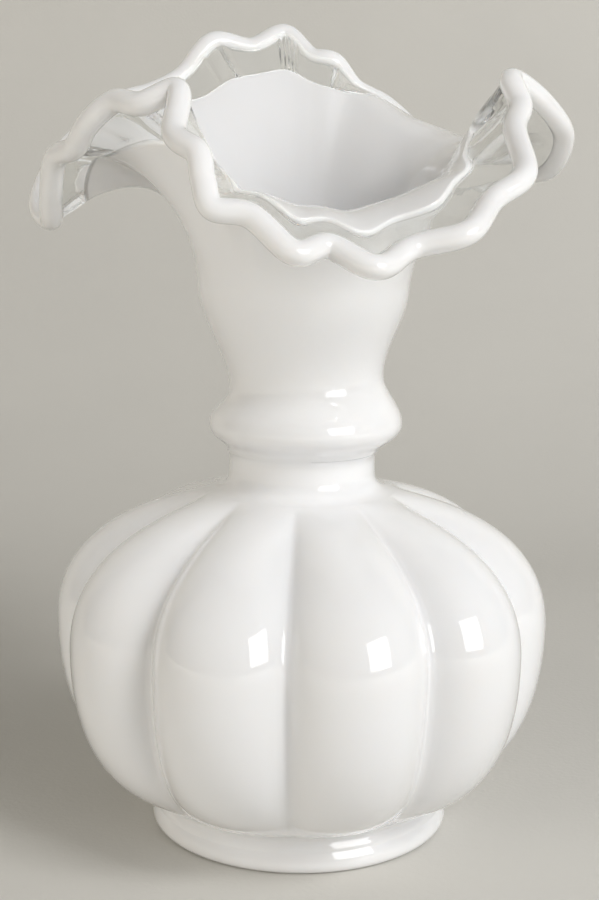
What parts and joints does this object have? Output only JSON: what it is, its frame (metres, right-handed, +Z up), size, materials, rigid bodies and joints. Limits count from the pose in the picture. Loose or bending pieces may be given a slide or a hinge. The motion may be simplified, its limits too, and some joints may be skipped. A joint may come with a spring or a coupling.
{
  "type": "crimped vase",
  "caption": "Ribbed round-bodied glass vase with a foot, a narrow collared neck and a wide ruffled, crimped mouth edged in clear and white glass.",
  "frame": {"origin": "middle of the foot's underside, on the surface the vase stands on", "axes": "+Z up the vase from foot to mouth, -Y towards the viewer (the mouth's low front lobe), +X to the viewer's right"},
  "size_m": [0.1323, 0.1211, 0.1989],
  "materials": {
    "milk_glass": "opaque white glass, smooth and glossy",
    "clear_glass": "clear colourless glass, smooth and glossy",
    "white_edge_glass": "opaque white glass, smooth and glossy"
  },
  "bodies": {
    "root": {"foot": "milk_glass", "ribbed_bowl": "milk_glass", "ruffled_trumpet": "milk_glass", "clear_band": "clear_glass", "white_edge": "white_edge_glass"}
  },
  "joints": []
}
